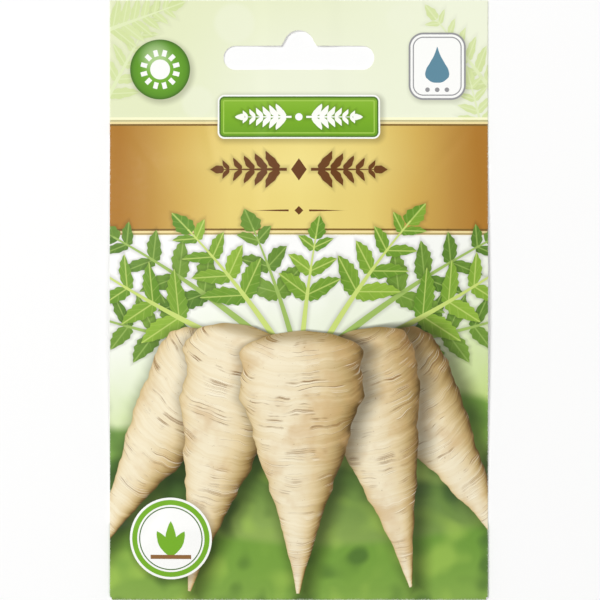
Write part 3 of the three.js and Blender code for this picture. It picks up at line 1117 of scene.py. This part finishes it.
def backPrint():
    board = newBoard("backPrint", inks["paper"])
    addLayer(board, drawCalendar)
    addLayer(board, drawSun, colour=inks["gold"], middleX=-24, middleY=26, radius=4.5)
    addLeaf(board, "front", footX=20, footY=22, heading=60, length=8, stalk=0.15, pairs=3,
            reach=3.5, breadth=1.2)
    for leaf in picture["ghostLeaves"]:
        addLeaf(board, "ghost", **leaf, **picture["ghostForm"])
    addLayer(board, wearFolds)
    return coat(board, 0.42)


def barePaper(name, tint):
    board = newBoard(name, tint)
    flecks = board.grain(0.33, 4, 0.65)
    board.lay(fade(flecks, 0.4, 0.75) * 0.35, ink(226, 222, 208))
    return finishBoard(board, fade(flecks, 0.3, 0.7, 0.8, 0.92), flecks, 0.012)


def foilFinish():
    board = newBoard("sachetFoil", ink(196, 198, 199))
    crumple = board.grain(2.5, 5, 0.6)
    board.lay(fade(crumple, 0.35, 0.7) * 0.5, ink(226, 228, 230))
    board.shader.inputs["Metallic"].default_value = 0.85
    return finishBoard(board, fade(crumple, 0.3, 0.7, 0.26, 0.42), crumple, 0.12)


def huskFinish():
    board = newBoard("seedHusk", ink(176, 142, 92))
    shade = board.grain(3.3, 3, 0.6)
    board.lay(fade(shade, 0.35, 0.7) * 0.6, ink(138, 104, 60))
    ducts = board.grain(0.4, 3, 0.6)
    board.lay(fade(ducts, 0.56, 0.66) * 0.6, ink(92, 62, 34))
    return finishBoard(board, fade(ducts, 0.3, 0.7, 0.6, 0.85), ducts, 0.05)


paper = makePaper([frontPrint(), backPrint(), barePaper("insidePaper", ink(246, 244, 236)),
                   barePaper("cutPaper", ink(250, 249, 244))])
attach(paper, "root")
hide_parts("packet_paper")
print("folded and printed the packet:", len(paper.data.polygons), "faces")


def sachetPoint(u, v):  # one web, folded at the bottom: v is below 0 on its lower half
    bend = (sachet["foil"] + sachet["gap"]) / 2
    bendHalf = math.pi * bend / 2
    bottom = sachet["centreY"] - sachet["height"] / 2 + bend
    past = abs(v) - bendHalf
    turn = np.minimum(abs(v) / bend, math.pi / 2)
    y = np.where(past < 0, bottom - bend * np.cos(turn), bottom + past)
    sealed = (sachetRoom(u, y) <= 0) & (past > 1)
    crimp = sachet["crimp"] * np.sin(y * sachet["crimpTurns"]) * sealed
    low = sachetFloor(u, np.maximum(y, bottom)) + sachet["foil"] / 2 + crimp
    upper = low + bend * (1 + np.sin(turn)) + sachetRoom(u, y)
    lower = low + bend * (1 - np.sin(turn))
    return np.stack([u, y, np.where(v < 0, lower, upper)], axis=-1)


def makeSachet(material):
    half = sachet["width"] / 2
    bendHalf = math.pi * (sachet["foil"] + sachet["gap"]) / 4
    reach = sachet["height"] - (sachet["foil"] + sachet["gap"]) / 2 + bendHalf
    rise = np.append(spread(bendHalf, reach, sachet["cell"] * 0.5), reach)
    us = np.append(spread(-half, half, sachet["cell"]), half)
    turn = np.linspace(-bendHalf, bendHalf, sachet["bendSteps"] + 1)
    vs = np.concatenate([-rise[::-1], turn[1:-1], rise])
    has = np.ones((len(us) - 1, len(vs) - 1), dtype=bool)
    points, faces, _ = thickSheet(sachetPoint, us, vs, sachet["foil"], has)
    foil = meshFrom("foil_sachet", points, faces, np.zeros(len(faces)), [material])
    foil.data.set_sharp_from_angle(angle=math.radians(sheet["sharpAngle"]))
    return foil


foilSachet = makeSachet(foilFinish())
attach(foilSachet, "root")
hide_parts("inner_sachet")
print("sealed the sachet:", len(foilSachet.data.polygons), "faces")


def seedMesh():  # one flat oval seed with a thin wing round it
    rings = seeds["rings"]
    sides = seeds["sides"]
    points = [(0, 0, seeds["thickness"] * rings[0][1])]
    for side in (1, -1):
        for radius, height in rings[1:][::side]:
            for k in range(sides):
                turn = math.tau * k / sides
                points.append((radius * seeds["length"] / 2 * math.cos(turn),
                               radius * seeds["breadth"] / 2 * math.sin(turn),
                               side * height * seeds["thickness"]))
    points.append((0, 0, -seeds["thickness"] * rings[0][1]))
    last = len(points) - 1
    faces = [(0, 1 + k, 1 + (k + 1) % sides) for k in range(sides)]
    for ring in range(2 * (len(rings) - 1) - 1):
        a = 1 + ring * sides
        b = a + sides
        faces += [(a + k, b + k, b + (k + 1) % sides, a + (k + 1) % sides) for k in range(sides)]
    a = last - sides
    faces += [(last, a + (k + 1) % sides, a + k) for k in range(sides)]
    mesh = bpy.data.meshes.new("one_seed")
    mesh.from_pydata([tuple(c * mm for c in p) for p in points], [], faces)
    mesh.polygons.foreach_set("use_smooth", [True] * len(faces))
    return mesh


def seedTree(material):  # sets a seed on each place, turned and sized, and makes it real
    tree = bpy.data.node_groups.new("scatterSeeds", "GeometryNodeTree")
    tree.interface.new_socket("Geometry", in_out="INPUT", socket_type="NodeSocketGeometry")
    tree.interface.new_socket("Seed object", in_out="INPUT", socket_type="NodeSocketObject")
    tree.interface.new_socket("Size spread", in_out="INPUT", socket_type="NodeSocketFloat")
    tree.interface.new_socket("Geometry", in_out="OUTPUT", socket_type="NodeSocketGeometry")
    nodes = tree.nodes
    start = nodes.new("NodeGroupInput")
    end = nodes.new("NodeGroupOutput")
    info = nodes.new("GeometryNodeObjectInfo")
    place = nodes.new("GeometryNodeInstanceOnPoints")
    turn = nodes.new("GeometryNodeInputNamedAttribute")
    turn.data_type = "FLOAT_VECTOR"
    turn.inputs["Name"].default_value = "turn"
    size = nodes.new("FunctionNodeRandomValue")
    size.data_type = "FLOAT"
    size.inputs["Seed"].default_value = seeds["draw"]
    size.inputs[3].default_value = 1
    smallest = nodes.new("ShaderNodeMath")
    smallest.operation = "SUBTRACT"
    smallest.inputs[0].default_value = 1
    real = nodes.new("GeometryNodeRealizeInstances")
    paint = nodes.new("GeometryNodeSetMaterial")
    paint.inputs["Material"].default_value = material
    for source, target in (
            (start.outputs["Geometry"], place.inputs["Points"]),
            (start.outputs["Seed object"], info.inputs["Object"]),
            (info.outputs["Geometry"], place.inputs["Instance"]),
            (turn.outputs[0], place.inputs["Rotation"]),
            (start.outputs["Size spread"], smallest.inputs[1]),
            (smallest.outputs[0], size.inputs[2]),
            (size.outputs[1], place.inputs["Scale"]),
            (place.outputs[0], real.inputs[0]),
            (real.outputs[0], paint.inputs["Geometry"]),
            (paint.outputs[0], end.inputs[0])):
        tree.links.new(source, target)
    return tree


def makeSeeds(material):
    mesh = bpy.data.meshes.new("loose_seeds")
    mesh.from_pydata([(x * mm, y * mm, z * mm) for x, y, z, _ in seedPlaces], [], [])
    turns = mesh.attributes.new("turn", "FLOAT_VECTOR", "POINT")
    turns.data.foreach_set("vector", [c for place in seedPlaces for c in (0, 0, place[3])])
    loose = bpy.data.objects.new("loose_seeds", mesh)
    single = bpy.data.objects.new("one_seed", seedMesh())
    for obj in (loose, single):
        bpy.context.scene.collection.objects.link(obj)
    modifier = loose.modifiers.new("scatter", "NODES")
    tree = seedTree(material)
    modifier.node_group = tree
    for item in tree.interface.items_tree:
        if item.name == "Seed object":
            modifier[item.identifier] = single
        if item.name == "Size spread":
            modifier[item.identifier] = seeds["sizeSpread"]
    bakeModifiers(loose)
    bpy.data.objects.remove(single)
    return loose


looseSeeds = makeSeeds(huskFinish())
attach(looseSeeds, "root")
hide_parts("seeds")
print("filled in the seeds:", len(looseSeeds.data.polygons), "faces")


studio = {                    # lengths in metres
    "floorSize": 6.0,
    "floorTint": (0.985, 0.985, 0.98, 1),
    "zenith": 0.33,           # strength of the sky's light overhead and at the horizon
    "horizon": 0.86,
    "skyBlend": (0.08, 0.45),     # it changes between these heights on the sky
    "lampSize": 0.9,
    "keyPower": 28.5,
    "keyPlace": (-1.0, 0.8, 1.7),
    "fillPower": 10.4,
    "fillPlace": (1.15, -0.85, 1.75),
}


def makeFloor():
    half = studio["floorSize"] / 2
    mesh = bpy.data.meshes.new("floor")
    corners = [(-half, -half, 0), (half, -half, 0), (half, half, 0), (-half, half, 0)]
    mesh.from_pydata(corners, [], [(0, 1, 2, 3)])
    material = bpy.data.materials.new("paleFloor")
    material.use_nodes = True
    shader = material.node_tree.nodes["Principled BSDF"]
    shader.inputs["Base Color"].default_value = studio["floorTint"]
    shader.inputs["Roughness"].default_value = 0.9
    shader.inputs["Specular IOR Level"].default_value = 0.1
    mesh.materials.append(material)
    floor = bpy.data.objects.new("floor", mesh)
    bpy.context.scene.collection.objects.link(floor)


def makeLamp(name, place, power):  # a soft square lamp that looks at the packet
    data = bpy.data.lights.new(name, "AREA")
    data.energy = power
    data.size = studio["lampSize"]
    lamp = bpy.data.objects.new(name, data)
    lamp.location = place
    bpy.context.scene.collection.objects.link(lamp)
    lamp.rotation_euler = (-lamp.location).to_track_quat("-Z", "Y").to_euler()


def makeStudio():
    makeFloor()
    makeLamp("key", studio["keyPlace"], studio["keyPower"])
    makeLamp("fill", studio["fillPlace"], studio["fillPower"])
    world = bpy.data.worlds.new("studio")
    world.use_nodes = True
    tree = world.node_tree
    place = tree.nodes.new("ShaderNodeTexCoord")
    split = tree.nodes.new("ShaderNodeSeparateXYZ")
    feed(split.inputs[0], place.outputs["Generated"])
    glow = fade(Num(split.outputs[2]), *studio["skyBlend"], studio["horizon"], studio["zenith"])
    feed(tree.nodes["Background"].inputs["Strength"], glow)
    tree.nodes["Background"].inputs["Color"].default_value = (1, 1, 1, 1)
    bpy.context.scene.world = world
    bpy.context.scene.view_settings.view_transform = "Standard"


makeStudio()
print("lit the studio")
